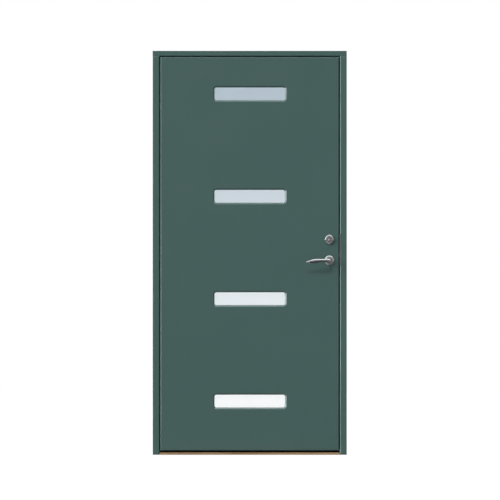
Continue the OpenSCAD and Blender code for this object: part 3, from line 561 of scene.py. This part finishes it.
def thumbturn_tab():
    """Bar carried straight out of its rose: a round neck that spreads by a smooth step into a flat
    upright tab, narrows a little, and closes over its last 5 mm with most of a quarter ellipse."""
    centre, _, _ = seat("thumbturn_rose", 1)
    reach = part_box("thumbturn")[1].y - centre[1]
    round_start = TAB_REACH - TAB_CLOSING
    h = np.concatenate([
        np.linspace(TAB_FOOT, round_start - 1, 34),
        round_start + TAB_CLOSING * np.sin(np.linspace(0, math.pi / 2, 16)),
    ])
    spread = smooth((h - SPREAD_START) / SPREAD_RUN)
    taper = np.clip(h - TAPER_START, 0, None)
    closing = np.clip(h - round_start, 0, TAB_CLOSING) / TAB_CLOSING
    close = np.sqrt(np.clip(1 - closing ** 2 * TAB_ROUNDING, 0, 1))
    half_z = (TAB_NECK_R + TAB_WIDENING * spread - TAB_TAPER_Z * taper) * close * MM
    half_x = (TAB_NECK_R - TAB_FLATTENING * spread - TAB_TAPER_X * taper) * close * MM
    a = np.arange(TAB_SIDES) * TURN / TAB_SIDES
    rings = np.stack([
        centre[0] + half_x[:, None] * np.cos(a),
        np.broadcast_to(centre[1] + h[:, None] * reach / TAB_REACH, (len(h), TAB_SIDES)),
        centre[2] + half_z[:, None] * np.sin(a),
    ], -1)
    piece = new_object("thumbturn_cast", *closed_tube(rings))
    return finish_piece(piece, chrome, "lock_turn", ["thumbturn"], sharp=60)


thumbturn_tab()


# Screws

SCREW_SIDES = 40
HEAD_DEPTH = 2.4 * MM
HEAD_RIM_DROP = 0.12 * MM
CROSS_R = 2.6 * MM
CROSS_ARM_W = 0.55 * MM
CROSS_DEPTH = 1.5 * MM
SHANK_R = 2.25 * MM


def screw(seat_point, axis, length):
    """Countersunk screw seen from its head: a disc with a cross sunk into it, a cone and a shank.
    The cross is as deep as 1 - (distance to the nearer arm / arm width)^4, fading with the radius."""
    a = np.arange(SCREW_SIDES) * TURN / SCREW_SIDES
    # Radii of the head's rings, closest where the cross is cut
    r = np.array([0.02, 0.25, 0.5, 0.8, 1.1, 1.4, 1.7, 2.0, 2.3, 2.6, 3.2, 4.3, 4.5]) * MM
    across, up = r[:, None] * np.cos(a), r[:, None] * np.sin(a)
    near = np.minimum(np.abs(across), np.abs(up)) / CROSS_ARM_W
    sunk = np.clip(1 - near ** 4, 0, 1) * np.clip(1 - r[:, None] / CROSS_R, 0, 1) ** 0.5
    deep = CROSS_DEPTH * sunk
    deep[-1] = HEAD_RIM_DROP
    body_r = np.array([SHANK_R, SHANK_R])
    body_deep = np.array([HEAD_DEPTH, length])
    across = np.concatenate([across, body_r[:, None] * np.cos(a)])
    up = np.concatenate([up, body_r[:, None] * np.sin(a)])
    deep = np.concatenate([deep, np.broadcast_to(body_deep[:, None], (2, SCREW_SIDES))])
    axis = np.array(axis, float)
    side = np.array([0, 1, 0]) if abs(axis[2]) > 0.5 else np.array([0, 0, 1])
    other = np.cross(axis, side)
    rings = (np.array(seat_point) + across[..., None] * side + up[..., None] * other
             - deep[..., None] * axis)
    return closed_tube(rings)


def screw_set(node, body, seats, axis_of, length):
    """All the screws of one node, each with its head at a seat point."""
    shapes = [screw(np.array(p) * MM, axis_of(p), length * MM) for p in seats]
    piece = new_object(node + "_cut", *merged(shapes))
    return finish_piece(piece, zinc, body, [node])


# Places and lengths of the screws in millimetres, as in the solids
LOCK_Y = -21.5
JAMB_FACE_W = 35
STRIKE_SCREW_INSET, STRIKE_SCREW_L = 11, 22
FORE_END_SCREW_INSET, FORE_END_SCREW_L = 9, 30
HINGE_SCREW_STEP, HINGE_SCREW_L = 57, 27
CORNER_X, CORNER_Y, SILL_SCREW_Z, CORNER_SCREW_L = 484.5, 27.5, 6.5, 80

lock_low, lock_high = (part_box("fore_end")[i].z / MM for i in (0, 1))
strike_low, strike_high = (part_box("strike_plate")[i].z / MM for i in (0, 1))
lock_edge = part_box("fore_end")[1].x / MM
frame_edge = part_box("hinge_jamb")[0].x / MM
frame_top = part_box("head")[1].z / MM
rebate = -frame_edge - JAMB_FACE_W
hinge_z = [
    (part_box(f"{place}_frame_hinge")[0].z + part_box(f"{place}_frame_hinge")[1].z) / 2 / MM
    for place in ("lower", "middle", "upper")
]
strike_ends = (strike_low + STRIKE_SCREW_INSET, strike_high - STRIKE_SCREW_INSET)
fore_end_ends = (lock_low + FORE_END_SCREW_INSET, lock_high - FORE_END_SCREW_INSET)
plate_ends = [z + step for z in hinge_z for step in (-HINGE_SCREW_STEP, HINGE_SCREW_STEP)]
screw_set("strike_screws", "frame", [(rebate, LOCK_Y, z) for z in strike_ends],
          lambda p: (-1, 0, 0), STRIKE_SCREW_L)
screw_set("fore_end_screws", "leaf", [(lock_edge, LOCK_Y, z) for z in fore_end_ends],
          lambda p: (1, 0, 0), FORE_END_SCREW_L)
screw_set("frame_hinge_screws", "frame", [(-rebate, LOCK_Y, z) for z in plate_ends],
          lambda p: (1, 0, 0), HINGE_SCREW_L)
screw_set("leaf_hinge_screws", "leaf", [(-lock_edge, LOCK_Y, z) for z in plate_ends],
          lambda p: (-1, 0, 0), HINGE_SCREW_L)
corner_ys = (-CORNER_Y, CORNER_Y)
corner_seats = [(x, y, frame_top) for x in (-CORNER_X, CORNER_X) for y in corner_ys]
corner_seats += [(x, y, SILL_SCREW_Z) for x in (frame_edge, -frame_edge) for y in corner_ys]
screw_set("corner_screws", "frame", corner_seats,
          lambda p: (0, 0, 1) if p[2] > SILL_SCREW_Z else (math.copysign(1, p[0]), 0, 0),
          CORNER_SCREW_L)


# Stage, lamps and camera

def stage_plane(name, corners, material):
    """Flat sheet through four corners, outside the object."""
    sheet = new_object(name, np.array(corners, float), [[0, 1, 2, 3]])
    sheet.data.materials.append(material)
    return sheet


def seen(tree):
    """1 for camera, glossy and transmission rays, and 0 for those that light."""
    path = add(tree, "LightPath")
    shine = add(tree, "Math", {
        0: path.outputs["Is Glossy Ray"], 1: path.outputs["Is Transmission Ray"],
    }, operation="MAXIMUM")
    return add(tree, "Math", {
        0: path.outputs["Is Camera Ray"], 1: shine.outputs["Value"],
    }, operation="MAXIMUM").outputs["Value"]


def pale_floor():
    """White studio floor. To the camera it is lifted to white and keeps a light shadow."""
    material, tree = new_material("pale_floor")
    lit = add(tree, "BsdfDiffuse", {"Color": linear("#A8A8A8")})
    faint = add(tree, "BsdfDiffuse", {"Color": linear("#606060")})
    glow = add(tree, "Emission", {"Color": linear("#FFFFFF"), "Strength": 0.9})
    white = add(tree, "AddShader", {0: faint.outputs["BSDF"], 1: glow.outputs["Emission"]})
    both = add(tree, "MixShader", {0: seen(tree), 1: lit.outputs["BSDF"], 2: white.outputs["Shader"]})
    add(tree, "OutputMaterial", {"Surface": both.outputs["Shader"]})
    return material


stage_plane("floor", [(-6, -6, 0), (6, -6, 0), (6, 6, 0), (-6, 6, 0)], pale_floor())


def studio_card(name, corners, level):
    """Card or panel of the studio round the object. Only glossy rays see it."""
    material, tree = new_material(name)
    glow = add(tree, "Emission", {"Color": linear("#FFFFFF"), "Strength": level})
    add(tree, "OutputMaterial", {"Surface": glow.outputs["Emission"]})
    card = stage_plane(name, corners, material)
    card.visible_camera = False
    card.visible_diffuse = False
    card.visible_transmission = False
    card.visible_shadow = False


def upright_card(name, axis, place, low, high, z, level):
    """Upright card across X or Y at a place on the other axis."""
    start, end = ((low, place), (high, place)) if axis == "X" else ((place, low), (place, high))
    corners = [(*start, z[0]), (*end, z[0]), (*end, z[1]), (*start, z[1])]
    studio_card(name, corners, level)


def level_card(name, y, z, level, x=(-7, 7)):
    """Level card between two places on Y, across the whole studio or between two places on X."""
    studio_card(name, [(x[0], y[0], z), (x[1], y[0], z), (x[1], y[1], z), (x[0], y[1], z)], level)


upright_card("dim_wall_behind_camera", "X", -14, -7, 7, (-1, 8), 0.25)
upright_card("dim_wall_behind_door", "X", 14, -7, 7, (-1, 8), 0.25)
upright_card("dim_wall_right", "Y", 5, -14, 14, (0, 6), 0.42)
upright_card("bright_panel_left", "Y", -8, -1.3, 1.3, (-1, 6), 4)
CEILING_Z = 7
level_card("bright_panel_above", (-1.2, 1.2), CEILING_Z, 2.5)
level_card("bright_panel_over_camera", (-8, -3.6), CEILING_Z, 1.45)
level_card("dim_ceiling_far", (-12, -8), CEILING_Z, 0.2)
level_card("dim_ceiling", (-3.6, -1.2), CEILING_Z, 0.65)
# The floor near the door is seen in the levers, in front of the door and behind it.
FLOOR_CARD_Z = 2 * MM
for side in (-1, 1):
    near, far = (side * 0.06, side * 0.9), (side * 0.9, side * 14)
    level_card(f"near_floor_left_{side}", near, FLOOR_CARD_Z, 0.48, (-7, 0.25))
    level_card(f"near_floor_middle_{side}", near, FLOOR_CARD_Z, 0.06, (0.25, 0.8))
    level_card(f"near_floor_right_{side}", near, FLOOR_CARD_Z, 0.2, (0.8, 7))
    level_card(f"far_floor_{side}", far, FLOOR_CARD_Z, 0.04)

world = bpy.data.worlds.new("studio")
bpy.context.scene.world = world
world.use_nodes = True
sky = world.node_tree
sky.nodes.clear()
dim = add(sky, "Background", {"Color": linear("#FFFFFF"), "Strength": 0.22})
bright = add(sky, "Background", {"Color": linear("#FFFFFF"), "Strength": 1.0})
either = add(sky, "MixShader", {
    0: seen(sky), 1: dim.outputs["Background"], 2: bright.outputs["Background"],
})
add(sky, "OutputWorld", {"Surface": either.outputs["Shader"]})


def lamp(name, kind, energy, place, aim, **settings):
    """Lamp at a place, turned towards a point, and out of sight of the camera and of metal."""
    light = bpy.data.lights.new(name, kind)
    light.energy = energy
    for key, value in settings.items():
        setattr(light, key, value)
    holder = bpy.data.objects.new(name, light)
    holder.location = place
    holder.rotation_euler = (Vector(aim) - Vector(place)).to_track_quat("-Z", "Y").to_euler()
    holder.visible_camera = False
    holder.visible_glossy = False
    bpy.context.scene.collection.objects.link(holder)
    return holder


def sun(name, energy, place, spread):
    """Sun lamp from a place towards the middle of the door; `spread` is its width in degrees."""
    return lamp(name, "SUN", energy, place, (0, 0, 1), angle=math.radians(spread))


key_light = sun("key_light", 1.27, (-0.8, -3.9, 5.4), 14)
left_light = sun("left_light", 3.6, (-8.5, -3.4, 5.0), 40)
fill_light = sun("fill_light", 0.4, (8.5, -4.0, 2.0), 40)
sun("back_light", 2.6, (3.3, 3.7, 4.6), 30)

# The outer panes lie in recesses whose edges would shade them, so they have lamps of their own: one
# from the front, and for the open leaf one from the left that doesn't reach the closed panes.
PANE_LIGHT = 2.44
pane_lamps = [
    sun("pane_light", PANE_LIGHT, (-0.6, -6.0, 2.2), 40),
    sun("open_pane_light", PANE_LIGHT, (-6.0, 0.7, 2.0), 8),
]
panes = [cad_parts[f"outer_pane_{i}"] for i in range(1, 5)]
lit_panes = bpy.data.collections.new("lit_panes")
unlit_panes = bpy.data.collections.new("unlit_panes")
for pane in panes:
    lit_panes.objects.link(pane)
    unlit_panes.objects.link(pane)
for entry in unlit_panes.collection_objects:
    entry.light_linking.link_state = "EXCLUDE"
for front_lamp in (key_light, left_light, fill_light):
    front_lamp.light_linking.receiver_collection = unlit_panes
for pane_lamp in pane_lamps:
    pane_lamp.light_linking.receiver_collection = lit_panes

painted = bpy.data.collections.new("painted_pieces")
for painted_node in ("outer_skin", "inner_skin", "hinge_jamb", "lock_jamb", "head"):
    painted.objects.link(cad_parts[painted_node])


def sheen_panel(name, level, place, aim, width, height):
    """Soft panel that shows only as the sheen of the painted pieces, along their bevels."""
    power = level * math.pi * width * height
    panel = lamp(name, "AREA", power, place, aim, shape="RECTANGLE", size=width, size_y=height)
    panel.visible_glossy = True
    panel.visible_diffuse = False
    panel.light_linking.receiver_collection = painted


# The low panel makes up for the part of the left one that the floor hides.
sheen_panel("sheen_left", 19, (-8, -1.7, 2.5), (0, -1.7, 2.5), 6.2, 7)
sheen_panel("sheen_left_low", 26, (-4.5, -0.9, 0.4), (0, -0.9, 0.4), 3.2, 0.8)
sheen_panel("sheen_above", 19, (0, -0.7, 7), (0, -0.7, 0), 14, 3.8)

VIEW_X, VIEW_Z = 1.55 * MM, 1.0596
VIEW_WIDTH = 2.5865
VIEW_DISTANCE = 14.0
camera = bpy.data.cameras.new("camera")
camera.sensor_width = 36.0
camera.lens = camera.sensor_width * VIEW_DISTANCE / VIEW_WIDTH
viewer = bpy.data.objects.new("camera", camera)
viewer.location = (VIEW_X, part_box("outer_skin")[0].y - VIEW_DISTANCE, VIEW_Z)
viewer.rotation_euler = (math.pi / 2, 0, 0)
bpy.context.scene.collection.objects.link(viewer)
bpy.context.scene.camera = viewer
bpy.context.scene.view_settings.view_transform = "Standard"
